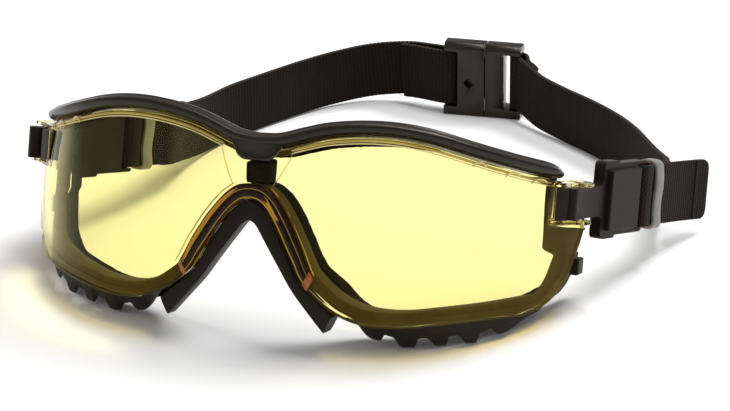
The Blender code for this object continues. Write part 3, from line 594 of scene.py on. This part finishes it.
def make_brow_bar():
    """A bar with a raised ridge along its front, rounded at its ends, and a boss over the bridge."""
    profile = [(1.0, -0.28), (1.0, 0.02), (0.86, 0.28), (0.62, 0.50), (0.42, 0.88), (0.0, 1.0), (-0.5, 0.92),
               (-0.92, 0.45), (-1.0, -0.2), (-0.8, -0.75), (-0.3, -1.0), (0.3, -0.98), (0.75, -0.72)]
    outline = rounded(profile, 0.14, 2)
    edge = even(smooth(TOP_EDGE, 8), 90)
    spine = [(-x, z) for x, z in reversed(edge[1:])] + edge
    middle = [lens_point(x, z, LENS_THICKNESS / 2) for x, z in spine]
    bar_end = 64.2
    rings = []
    for i, (x, z) in enumerate(spine):
        reach = max(0.0, (abs(x) - bar_end) / 4.3)
        size = 0.35 + 0.65 * math.sqrt(max(0.0, 1 - min(1.0, reach) ** 2.4))
        along = (middle[min(i + 2, len(middle) - 1)] - middle[max(i - 2, 0)]).normalized()
        out = lens_point(x, z, 0.0) - middle[i]
        out = (out - along * out.dot(along)).normalized()
        up = out.cross(along)
        up = up if up.z > 0 else -up
        centre = middle[i] + up * (0.4 + BROW_HEIGHT * (0.3 + 0.7 * size))
        rings.append([centre + out * BROW_DEPTH * size * p.x + up * BROW_HEIGHT * size * p.y
                      for p in outline])
    add("brow_bar_ridged", loft(rings), UPRIGHT, SATIN, "front", ["brow_bar"], 30)
    half = [(6.6, 48.0), (5.6, 46.4), (4.9, 45.0), (3.2, 43.9)]
    flat = half + [(-x, z) for x, z in reversed(half)] + [(-6.6, 49.2), (6.6, 49.2)]
    outline = rounded(flat, 1.0, 3)
    boss_at = TOP_EDGE[0][1]
    layers = []
    for depth, size in ((-1.5, 0.74), (-1.3, 0.88), (-0.8, 1.0), (-0.3, 1.0)):
        shrunk = [(p.x * size, boss_at + (p.y - boss_at) * size) for p in outline]
        layers.append([Vector((x, lens_y(x, z) + depth, z)) for x, z in shrunk])
    add("brow_boss", loft(layers), UPRIGHT, SATIN, "front")


def behind_lens(x, z):
    """Just behind the lens, measured along Y."""
    slope = (lens_y(x + 0.01, z) - lens_y(x - 0.01, z)) / 0.02
    return lens_y(x, z) + (LENS_THICKNESS + 2 * GAP) * math.hypot(1.0, slope)


def notch(x):
    """How far the skirt's edge is cut away at x, from 0 to 1."""
    deepest = 0.0
    for place in TOOTH_GAPS:
        away = abs(abs(x) - place)
        deepest = max(deepest, min(1.0, max(0.0, (2.3 - away) / 1.3)))
    return deepest * deepest * (3 - 2 * deepest)


def make_gasket():
    """A stepped front face, a flared skirt with teeth along the bottom, and a small tab at each side."""
    offset = [(TOP, 0.5), (0.29, 0.3), (0.36, 0.5), (0.48, 1.0), (HEEL, 0.8), (BRIDGE, 0.6)]
    width = [(TOP, 1.5), (0.2, 1.0), (0.31, 0.7), (0.36, 2.4), (0.42, 4.0), (0.48, 4.2), (HEEL, 3.6),
             (0.62, 3.0), (NOSE_FOOT, 3.0), (BRIDGE, 2.6)]
    flare = [(0.43, 0.0), (0.48, -1.2), (0.525, -1.0), (HEEL, 1.6), (0.585, 5.4), (0.61, 7.0), (0.7, 6.9),
             (0.735, 5.6), (0.775, 0.5), (0.8, 0.0)]
    rings = []
    for x, z, in_x, in_z, mark in whole_outline(7):
        start, breadth, drop = between(offset, mark), between(width, mark), between(flare, mark)
        share = between([(0.48, 0.0), (HEEL, 1.0)], mark)
        outer_x, outer_z = x + in_x * start, z + in_z * start
        inner_x, inner_z = x + in_x * (start + breadth), z + in_z * (start + breadth)
        outer = (clear_of_port(outer_x, outer_z, 0.0), outer_z)
        inner = (clear_of_port(inner_x, inner_z, 0.5), inner_z)
        face_x = min(abs(outer_x) - step_in(z), between(FACE_LIMIT, outer_z))
        face = (math.copysign(face_x, x), outer_z)
        rise = 2.3 * notch(x) if drop > 3.0 else 0.0
        low = (outer[0] - in_x * (drop - rise), outer[1] - in_z * (drop - rise))
        rim = face_y(low[0]) + (rim_y(low[0]) - face_y(low[0])) * share - rise * 0.4
        a = Vector((face[0], behind_lens(*face), face[1]))
        b = Vector((inner[0], behind_lens(*inner), inner[1]))
        c = Vector((inner[0], seat_y(*inner), inner[1]))
        d = Vector((low[0], min(REAR_LIMIT, rim), low[1]))
        bulge = Vector((-in_x, -0.35, -in_z)) * (0.09 * max(drop, 0.0))
        step = a.lerp(b, 0.42)
        lip = step + Vector((0, 0.7, 0))
        skirt = [a.lerp(d, 0.62) + bulge, a.lerp(d, 0.25) + bulge * 0.7]
        corners = [a, step, lip, b + Vector((0, 0.7, 0)), c, d] + skirt
        rings.append(rounded(corners, [0.35, 0.15, 0.15, 0.5, 0.4, 1.1, 1.2, 1.0], 2))
    front_faces = 14
    add("gasket_skirt", loft(rings, True, skin_of=lambda r, i: int(i < front_faces)), UPRIGHT,
        [RUBBER, GASKET_FACE], "front", ["gasket_frame"], 50)
    square = rounded([(68.4, 18.8), (72.4, 18.8), (72.4, 23.0), (68.4, 23.0)], 0.5)
    for suffix, side in SIDES.items():
        tab = add("gasket_tab_" + suffix, prism_along_y([(side * x, z) for x, z in square], 32.0, 37.0),
                  UPRIGHT, RUBBER, "front")
        soften(tab, 0.3)


def roughened(ring, fineness, height):
    """Points moved a little by noise, as foam's skin is uneven."""
    return [p + Vector(noise.noise_vector(p * fineness)) * height for p in ring]


def make_foam():
    """The face foam all round, and the foam post behind the bridge."""
    offset = [(TOP, 0.2), (0.27, -0.6), (0.36, 0.6), (0.48, 2.6), (HEEL, 1.2), (0.6, -1.6), (0.75, -1.6),
              (NOSE_FOOT, 0.6), (BRIDGE, 0.8)]
    width = [(TOP, 2.4), (0.15, 3.2), (0.3, 2.8), (0.38, 3.6), (0.48, 3.4), (HEEL, 4.0), (0.65, 4.4),
             (0.78, 4.0), (0.9, 2.6), (BRIDGE, 2.2)]
    front, back = 0.5, 0.5 + FOAM_DEPTH
    rings = []
    for x, z, in_x, in_z, mark in whole_outline(7):
        start, breadth = between(offset, mark), between(width, mark)
        outer_x, outer_z = x + in_x * start, z + in_z * start
        inner_x, inner_z = x + in_x * (start + breadth), z + in_z * (start + breadth)
        outer = (clear_of_port(outer_x, outer_z, 0.6), outer_z)
        inner = (clear_of_port(inner_x, inner_z, 1.7), inner_z)
        corners = [Vector((at[0], seat_y(*at) + depth, at[1]))
                   for at, depth in ((outer, front), (inner, front), (inner, back), (outer, back))]
        rings.append(roughened(rounded(corners, [0.3, 0.5, 1.9, 1.9], 4), 0.9, 0.12))
    foam = add("foam_cushion", loft(rings, True), UPRIGHT, FOAM, "front", ["foam_liner"], 60)
    # The post, as (y, half width, middle height, half height)
    stations = [(-10.0, 2.7, 40.6, 2.4), (-9.6, 3.0, 40.6, 2.7), (-7.0, 2.9, 40.6, 2.7),
                (-5.0, 2.8, 40.5, 2.8), (-3.0, 2.6, 40.4, 3.2)]
    rings = []
    for y, half_x, mid_z, half_z in stations:
        flat = [(sx * half_x, y, mid_z + sz * half_z) for sx, sz in ((-1, -1), (1, -1), (1, 1), (-1, 1))]
        rings.append(roughened(rounded(flat, 0.9, 5), 1.4, 0.22))
    post = add("foam_post", loft(rings), UPRIGHT, FOAM, "front", (), 60)


def make_nose_pad():
    """A crowned rubber band in an upturned V."""
    rings = []
    for (x0, z0), (x1, z1) in zip(both_halves(PAD_INNER, 61), both_halves(PAD_OUTER, 61)):
        near0, near1 = lens_y(x0, z0) + 0.4, lens_y(x1, z1) + 0.4
        crown = Vector(((x0 + x1) / 2, (near0 + near1) / 2 - 0.35, (z0 + z1) / 2))
        corners = [Vector((x0, near0, z0)), crown, Vector((x1, near1, z1)),
                   Vector((x1, near1 + PAD_DEPTH, z1)), Vector((x0, near0 + PAD_DEPTH, z0))]
        rings.append(rounded(corners, [0.7, 1.2, 0.5, 0.8, 1.2], 3))
    add("nose_pad_soft", loft(rings), UPRIGHT, RUBBER, "front", ["nose_pad"], 50)


def make_flange():
    """The thick amber rib round the nose arch, with painted gold highlight lines along it and solid orange
    ends.

    A thin line runs beside it, and a faint crease rises from it to the brow at each side.
    """
    inner, outer = both_halves(FLANGE_INNER, 70), both_halves(FLANGE_OUTER, 70)
    # Across the rib, as (place from its inner to its outer edge, height)
    profile = [(0.0, 0.0), (0.04, 0.5), (0.10, 0.75), (0.17, 0.6), (0.24, 0.45), (0.34, 0.8), (0.48, 1.1),
               (0.60, 1.0), (0.66, 0.55), (0.70, 0.55), (0.78, 0.8), (0.88, 0.8), (0.95, 0.5), (1.0, 0.0)]
    # Faces painted gold as highlight lines along the rib
    highlight_faces = (3, 8)
    orange_rings = 5
    from_end = [min(i, len(inner) - 1 - i) for i in range(len(inner))]
    rings = []
    for i, ((x0, z0), (x1, z1)) in enumerate(zip(inner, outer)):
        close = min(1.0, from_end[i] / 5 + 0.25)
        depths = [(t, 0.25 - height * close) for t, height in profile] + [(0.98, 0.3), (0.02, 0.3)]
        rings.append([lens_point(x0 + (x1 - x0) * t, z0 + (z1 - z0) * t, depth) for t, depth in depths])

    def skin_of(ring, face):
        if from_end[ring] < orange_rings:
            return 2
        return 1 if face in highlight_faces else 0

    add("nose_flange", loft(rings, skin_of=skin_of), UPRIGHT, [FLANGE, HIGHLIGHT_LINE, ORANGE], "front",
        (), 60)
    shares = [i / 24 for i in range(25)]
    beside = even(smooth([(x + 0.55, z + 0.5) for x, z in FLANGE_OUTER[:-1]], 6), 60)
    for suffix, side in SIDES.items():
        crease = [lens_point(side * (9.2 - 4.2 * t ** 1.2), 46.6 - 9.0 * t, 0.15) for t in shares]
        add("bridge_crease_" + suffix, tube(crease, 0.13), UPRIGHT, PORT, "front")
        edge = [lens_point(side * x, z, -0.02) for x, z in beside]
        add("flange_outline_" + suffix, tube(edge, 0.18), UPRIGHT, LENS_EDGE, "front")


def make_top_bead():
    """The two gold lines under the brow bar, the lens's top edge coloured as painted highlights, and the
    three small vents at each outer end, coloured pale gold as painted highlights.
    """
    line = [p for p in even(smooth(TOP_EDGE, 8), 120) if 8.5 < p[0] < 67.0]
    vents = ((52.6, 47.6), (59.2, 45.3), (64.2, 43.6))
    below = 0.95
    half_turn = [math.pi * k / 24 for k in range(25)]
    for suffix, side in SIDES.items():
        # Each line follows the lens's top edge, coloured as a painted highlight
        for index, (drop, radius, skin) in enumerate(((below, 0.34, HIGHLIGHT_LINE), (1.65, 0.16, PALE_HIGHLIGHT))):
            points = [lens_point(side * x, z - drop, -0.05) for x, z in line]
            add("lens_top_bead_%s_%d" % (suffix, index), tube(points, radius), UPRIGHT, skin, "front")
        for index, (x, z) in enumerate(vents):
            arch = [lens_point(side * x + 1.3 * math.cos(a), z - below + 1.15 * math.sin(a), -0.4)
                    for a in half_turn]
            add("lens_vent_%s_%d" % (suffix, index), tube(arch, 0.27), UPRIGHT, PALE_HIGHLIGHT, "front")


# ---------------------------------------------------------------- strap clips, keepers and webbing

def make_clip(suffix, side):
    """A T-shaped plate with a rolled front end, a raised block, and the bar that holds the webbing."""
    place = arm_frame(suffix)
    body = "clip_" + suffix
    nose = -4.7
    lower = [(nose, -NECK_HALF), (NECK_END, -NECK_HALF), (NECK_END, -EAR_HALF), (EAR_END, -EAR_HALF),
             (EAR_END, -FRAME_HALF), (CLIP_END, -FRAME_HALF)]
    outline = lower + [(y, -z) for y, z in reversed(lower)]
    radii = [0.4, 1.4, 1.8, 1.0, 0.4, 1.2]
    flat = rounded(outline, radii + list(reversed(radii)), 5)
    plate = prism_along_x(flat, -side * CLIP_HALF_THICK, side * (CLIP_HALF_THICK - 0.7))
    clip = add("clip_body_" + suffix, plate, place, CLIP, body, ["strap_clip_" + suffix])
    cut(clip, rod((0, nose), CLIP_HALF_THICK, -4.0, 4.0), place, "UNION")
    window = rounded([(SLOT_START, -8.3), (33.0, -8.3), (33.0, 8.3), (SLOT_START, 8.3)], 0.6)
    cut(clip, prism_along_x(window, -6, 6), place)
    cut(clip, rod((0, 0), PIN_HOLE, -6, 6), place)
    soften(clip, 0.45)
    block = rounded([(11.8, -7.75), (27.2, -7.75), (27.2, 7.75), (11.8, 7.75)], 0.5)
    raised = add("clip_block_" + suffix, prism_along_x(block, side * 0.6, side * 2.6), place, CLIP, body)
    soften(raised, 0.35)
    bar = add("clip_bar_" + suffix, rod((0, BAR_AT), BAR_RADIUS, -8.7, 8.7), place, CLIP, body)
    soften(bar, 0.2)


def make_keeper(suffix):
    """A soft grey ring, a little wavy, round both layers of webbing."""
    place = arm_frame(suffix)
    half_x, half_z = LAYER_OFFSET + WEB_THICK / 2 + 0.7, WEB_WIDTH / 2 + 0.7
    path = rounded([(-half_x, -half_z), (half_x, -half_z), (half_x, half_z), (-half_x, half_z)], 1.6, 8)
    path = even([tuple(p) for p in path] + [tuple(path[0])], 121)[:-1]
    along = Vector((0, 1, 0)) * KEEPER_LENGTH / 2 * 0.9
    thick = 0.45
    rings = []
    for i, (x, z) in enumerate(path):
        x1, z1 = path[(i + 1) % len(path)]
        x0, z0 = path[i - 1]
        out = Vector((z1 - z0, 0, -(x1 - x0))).normalized() * thick
        wave = 0.4 * math.sin(z * 0.5) - 0.03 * z
        centre = Vector((x, KEEPER_AT + wave, z))
        rings.append(rounded([centre - along - out, centre + along - out, centre + along + out,
                              centre - along + out], 0.3, 3))
    add("keeper_ring_" + suffix, loft(rings, True), place, KEEPER, "keeper_" + suffix,
        ["strap_keeper_" + suffix], 50)


def ribbon(path, place, name, body, replaced, start_at=0.0, hems=(), corner=0.0):
    """Webbing along (centre, width way) pairs, finely stepped, with picots along both edges.

    hems are (from, to, extra thickness) along it, and corner rounds the corners of its far end.
    """
    count = max(12, int(length_of(path) / 0.26))
    flat = [(*c, *w) for c, w in path]
    lengths = [0.0]
    for a, b in zip(path, path[1:]):
        lengths.append(lengths[-1] + (b[0] - a[0]).length)
    fine = []
    k = 0
    for i in range(count):
        want = lengths[-1] * i / (count - 1)
        while k < len(flat) - 2 and lengths[k + 1] < want:
            k += 1
        t = (want - lengths[k]) / max(1e-9, lengths[k + 1] - lengths[k])
        row = [p + (q - p) * t for p, q in zip(flat[k], flat[k + 1])]
        fine.append((Vector(row[:3]), Vector(row[3:]), want))
    half_section = [(1.0, -0.55), (1.0, 0.55), (0.985, 1.0), (0.5, 1.0), (0.0, 1.0), (-0.5, 1.0),
                    (-0.985, 1.0)]
    section = half_section + [(-a, -b) for a, b in half_section]
    rings = []
    last = len(fine) - 1
    for i, (centre, across, at) in enumerate(fine):
        along = (fine[min(i + 2, last)][0] - fine[max(i - 2, 0)][0]).normalized()
        across = (across - along * across.dot(along)).normalized()
        thick = along.cross(across)
        picot = 0.16 * (abs(math.sin(math.pi * (at + start_at) / PICOT_PITCH)) ** 0.7 - 0.6)
        depth = WEB_THICK / 2
        for low, high, extra in hems:
            edge = min(at - low, high - at)
            if edge > -0.3:
                depth += extra * min(1.0, max(0.0, (edge + 0.3) / 0.5))
        half = WEB_WIDTH / 2 + picot
        to_corner = max(0.0, corner - (lengths[-1] - at))
        half -= corner - math.sqrt(max(0.0, corner ** 2 - to_corner ** 2))
        rings.append([centre + across * (half * a) + thick * (depth * b) for a, b in section])
    place_along = [at + start_at for _, _, at in fine]
    place_across = [a * 7.9 + (b * 0.4 if abs(a) > 0.99 else 0.0) for a, b in section]
    place_across.append(place_across[0])
    # The edge faces take the webbing with the painted sheen
    edge_faces = (0, 1, 6, 7, 8, 13)
    shape = loft(rings, uv=(place_along, place_across), skin_of=lambda r, i: int(i in edge_faces))
    return add(name, shape, place, [WEB, WEB_EDGE_SHEEN], body, replaced, 50)


# Free tails as (outwards, along) in each clip's frame; routes and spare ends on the surface
TAILS = {"right": [(1.1, 49.5), (1.3, 54.5), (1.7, 59.5), (2.3, 64.0)],
         "left": [(1.5, 48.5), (3.0, 53.5), (5.2, 59.0), (7.2, 63.0)]}
ROUTES = {
    "right": [(81.9, 88.5, 13.3), (80.4, 94.5, 11.7), (78.1, 100.5, 10.1), (74.8, 107.5, 8.9),
              (70.3, 115.5, 8.25), (64.7, 124.0, 8.15), (57.7, 132.0, 8.15), (48.8, 139.8, 8.15),
              (38.6, 147.2, 8.2), (30.8, 152.5, 8.8), (26.2, 156.4, 9.8)],
    "left": [(-54.2, 88.0, 13.7), (-54.7, 94.0, 12.0), (-54.8, 100.0, 10.4), (-54.4, 106.5, 9.0),
             (-53.1, 114.0, 8.25), (-50.5, 122.5, 8.15), (-46.6, 130.3, 8.15), (-42.2, 138.8, 8.15),
             (-37.2, 147.6, 8.2), (-30.8, 156.0, 8.5), (-22.3, 162.6, 9.3), (-12.5, 165.0, 10.2),
             (-4.8, 164.1, 10.6)]}
SPARES = {"right": [(22.4, 163.6, 9.9), (24.0, 162.6, 8.8)],
          "left": [(-2.4, 159.9, 10.7), (-7.2, 161.3, 10.6), (-12.9, 163.0, 10.2)]}
RIGHT_MIDDLE = Vector(ROUTES["right"][6])


def turn_round(centre, radius, first, last, steps):
    angles = [math.radians(first + (last - first) * i / steps) for i in range(steps + 1)]
    return [(centre[0] + radius * math.cos(a), centre[1] + radius * math.sin(a)) for a in angles]


def make_fold(suffix, side):
    """The end of the webbing: one layer in, round the clip's bar, one layer back and the free tail."""
    round_bar = BAR_RADIUS + GAP + WEB_THICK / 2
    settle = [(round_bar, BAR_AT + 1.2), (round_bar * 0.8 + LAYER_OFFSET * 0.2, BAR_AT + 2.6),
              (LAYER_OFFSET + 0.12, BAR_AT + 4.2), (LAYER_OFFSET, KEEPER_AT - 1.0), (LAYER_OFFSET, FOLD_END)]
    inner = [(-x, y) for x, y in reversed(settle)]
    arc = turn_round((0, BAR_AT), round_bar, -180, 0, 24)
    plan = inner + arc + smooth(settle + TAILS[suffix], 6)
    path = [(Vector((side * x, y, 0)), Vector((0, 0, 1))) for x, y in plan]
    total = length_of(path)
    ribbon(path, arm_frame(suffix), "strap_end_" + suffix, "clip_" + suffix, ["strap_fold_" + suffix],
           hems=[(total - 6.2, total - 5.6, 0.25), (total - 5.9, total + 1, 0.12)], corner=2.4)


def arm_to_surface(suffix, side, out, along):
    turned = Matrix.Rotation(SWINGS[suffix], 3, "Z") @ Vector((side * out, along, 0))
    upright = Vector((side * PIVOT.x, PIVOT.y, PIVOT.z)) + turned
    return Matrix.Rotation(-LEAN, 3, "X") @ upright


def buckle_point(along, out, height):
    plan = Matrix.Rotation(BUCKLE_TURN, 3, "Z") @ Vector((along, out, 0))
    return Vector((BUCKLE_AT[0] + plan.x, BUCKLE_AT[1] + plan.y, height))


def strap_path(suffix, side):
    """From the fold, along the surface, round the buckle's bar to the spare end."""
    ends = [arm_to_surface(suffix, side, -LAYER_OFFSET, FOLD_END + step) for step in (0.0, 3.8)]
    reach = BUCKLE_BAR_RADIUS + GAP + WEB_THICK / 2
    first, last = (-90, -270) if side > 0 else (90, -90)
    turn = turn_round((0, 0), reach, first, last, 20)
    wrap = [buckle_point(BUCKLE_BARS[suffix] + x, y, BUCKLE_HEIGHT / 2) for x, y in turn]
    run = smooth([tuple(p) for p in ends] + ROUTES[suffix] + [tuple(wrap[0])], 10)
    back = smooth([tuple(wrap[-1])] + SPARES[suffix], 6)
    centres = [Vector(p) for p in run] + wrap[1:-1] + [Vector(p) for p in back]
    leaning = Vector((0, math.sin(LEAN), math.cos(LEAN)))
    ways = [leaning.lerp(Vector((0, 0, 1)), between([(88, 0.0), (112, 1.0)], c.y)) for c in centres]
    return list(zip(centres, ways))


def row(point):
    """A point on the surface, in millimetres, as a place in the scene."""
    return SURFACE @ point


def make_straps():
    """Each long strap runs from its fold along the surface and round the buckle's bar; the right one is made
    in two pieces, split near its middle.
    """
    path = strap_path("right", 1)
    middle = min(range(len(path)), key=lambda i: (path[i][0] - RIGHT_MIDDLE).length)
    near = ribbon(path[:middle + 1], SURFACE, "strap_right_side", None, [])
    row(path[0][0])
    row(path[middle][0])
    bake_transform(near)
    far = ribbon(path[middle:], SURFACE, "strap_right_rear", None, ["strap_right"],
                 start_at=length_of(path[:middle + 1]))
    row(path[middle][0])
    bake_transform(far)
    path = strap_path("left", -1)
    total = length_of(path)
    left = ribbon(path, SURFACE, "strap_left_side", None, ["strap_left"],
                  hems=[(total - 2.0, total + 1, 0.15)])
    row(path[0][0])
    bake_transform(left)


# ---------------------------------------------------------------- buckle

def buckle_half(name, body, node, low, high):
    """A flat case with a chamfered top, slightly smaller at its two ends, from low to high along X."""
    half, middle, chamfer = BUCKLE_THICK / 2, BUCKLE_HEIGHT / 2, 1.1
    profile = [(-half, 0.0), (half, 0.0), (half, BUCKLE_HEIGHT - chamfer * 0.6),
               (half - chamfer, BUCKLE_HEIGHT), (-half + chamfer * 1.3, BUCKLE_HEIGHT),
               (-half, BUCKLE_HEIGHT - chamfer)]
    outline = rounded(profile, 0.35, 2)
    rings = []
    for x, size in ((low, 0.97), (low + 0.25, 1.0), (high - 0.25, 1.0), (high, 0.97)):
        upright = 1 - (1 - size) * 0.3
        rings.append([Vector((x, p.x * size, middle + (p.y - middle) * upright)) for p in outline])
    return add(name, loft(rings), BUCKLE, SATIN, body, [node])


def cut_through(shell, outline, radius, front=-BUCKLE_THICK / 2 - 1, back=BUCKLE_THICK / 2 + 1):
    """Cut a rounded (x, z) outline out of the buckle, right through unless told otherwise."""
    cut(shell, prism_along_y(rounded(outline, radius), front, back), BUCKLE)


def window_and_bar(shell, low, high, bar_at):
    """The strap's window and the bar across it."""
    cut_through(shell, [(low, WINDOW_FOOT), (high, WINDOW_FOOT), (high, WINDOW_TOP), (low, WINDOW_TOP)], 0.7)
    cut(shell, rod((bar_at, 0), BUCKLE_BAR_RADIUS, WINDOW_FOOT - 0.4, WINDOW_TOP + 0.4), BUCKLE, "UNION")


def make_buckle():
    """A socket with a diamond latch window, and a plug whose tongue fills the socket."""
    half, middle, seam = BUCKLE_THICK / 2, BUCKLE_HEIGHT / 2, 0.15
    socket = buckle_half("buckle_socket_shell", "front", "buckle_socket", -11.8, -seam)
    window_and_bar(socket, -13.0, -7.8, BUCKLE_BARS["left"])
    cut(socket, box((-6.6, -1.4, middle - 6.4), (1.0, 1.4, middle + 6.4)), BUCKLE)
    at_x, at_z, size = -4.5, 9.8, 1.75
    diamond = [(at_x - size, at_z), (at_x, at_z - size), (at_x + size, at_z), (at_x, at_z + size)]
    cut_through(socket, diamond, 0.4, back=-0.9)
    soften(socket, 0.22, 2)
    plug = buckle_half("buckle_plug_shell", "plug", "buckle_plug", seam, 10.4)
    window_and_bar(plug, 5.2, 11.6, BUCKLE_BARS["right"])
    cut(plug, box((-6.2, -1.0, middle - 6.0), (1.0, 1.0, middle + 6.0)), BUCKLE, "UNION")
    ramp = [(1.6, -half - 0.1), (5.6, -half - 0.1), (5.6, -half + 1.5)]
    cut(plug, prism(ramp, 3.0, 18.4), BUCKLE)
    soften(plug, 0.22, 2)


# ---------------------------------------------------------------- build

noise.seed_set(7)
make_lens()
make_ports()
make_brow_bar()
make_gasket()
make_foam()
make_nose_pad()
make_flange()
make_top_bead()
for suffix, side in SIDES.items():
    make_clip(suffix, side)
    make_keeper(suffix)
    make_fold(suffix, side)
make_straps()
make_buckle()

for node, skin, width in (("hinge_block_right", SATIN, 0.3), ("hinge_block_left", SATIN, 0.3),
                          ("hinge_pin_right", STEEL, 0.15), ("hinge_pin_left", STEEL, 0.15)):
    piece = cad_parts[node]
    for place in piece.material_slots:
        place.material = skin
    soften(piece, width, 2)

# ---------------------------------------------------------------- floor, lights and camera, in metres

FLOOR_Z = -0.0002
floor_corners = [(x, y, FLOOR_Z) for x, y in ((-6, -6), (6, -6), (6, 9), (-6, 9))]
floor_mesh = bpy.data.meshes.new("floor")
floor_mesh.from_pydata(floor_corners, [], [(0, 1, 2, 3)])
floor = bpy.data.objects.new("floor", floor_mesh)
bpy.context.scene.collection.objects.link(floor)
paper, nodes, links, main = shader("white_paper")
main.inputs["Base Color"].default_value = (0.93, 0.93, 0.93, 1.0)
main.inputs["Roughness"].default_value = 0.6
main.inputs["Specular IOR Level"].default_value = 0.2
floor_mesh.materials.append(paper)

world = bpy.data.worlds.new("studio")
bpy.context.scene.world = world
world.use_nodes = True
world.node_tree.nodes["Background"].inputs["Color"].default_value = (1.0, 1.0, 1.0, 1.0)
world.node_tree.nodes["Background"].inputs["Strength"].default_value = 0.42


def lamp(name, place, aim, size, power):
    """A white rectangular lamp facing its aim."""
    data = bpy.data.lights.new(name, "AREA")
    data.shape = "RECTANGLE"
    data.size, data.size_y = size
    data.energy = power
    made = bpy.data.objects.new(name, data)
    bpy.context.scene.collection.objects.link(made)
    made.location = place
    made.rotation_euler = (Vector(aim) - Vector(place)).to_track_quat("-Z", "Y").to_euler()


lamp("key", (0.35, 0.65, 1.05), (0, 0, 0), (0.45, 0.45), 10.8)
lamp("front_fill", (-0.5, -0.9, 0.8), (0, -0.03, 0.02), (0.9, 0.5), 1.0)
lamp("top_strip", (0.1, 0.1, 0.9), (0, -0.04, 0.02), (0.9, 0.10), 4.5)

view = bpy.data.cameras.new("view")
view.lens = 187.2
view.sensor_width = 36.0
view.clip_start = 0.05
view.clip_end = 60.0
camera = bpy.data.objects.new("view", view)
bpy.context.scene.collection.objects.link(camera)
camera.location = (0.28351, -0.88919, 0.38967)
camera.rotation_euler = (math.radians(67.5587), math.radians(0.2925), math.radians(17.8637))
bpy.context.scene.camera = camera
bpy.context.scene.view_settings.view_transform = "Standard"
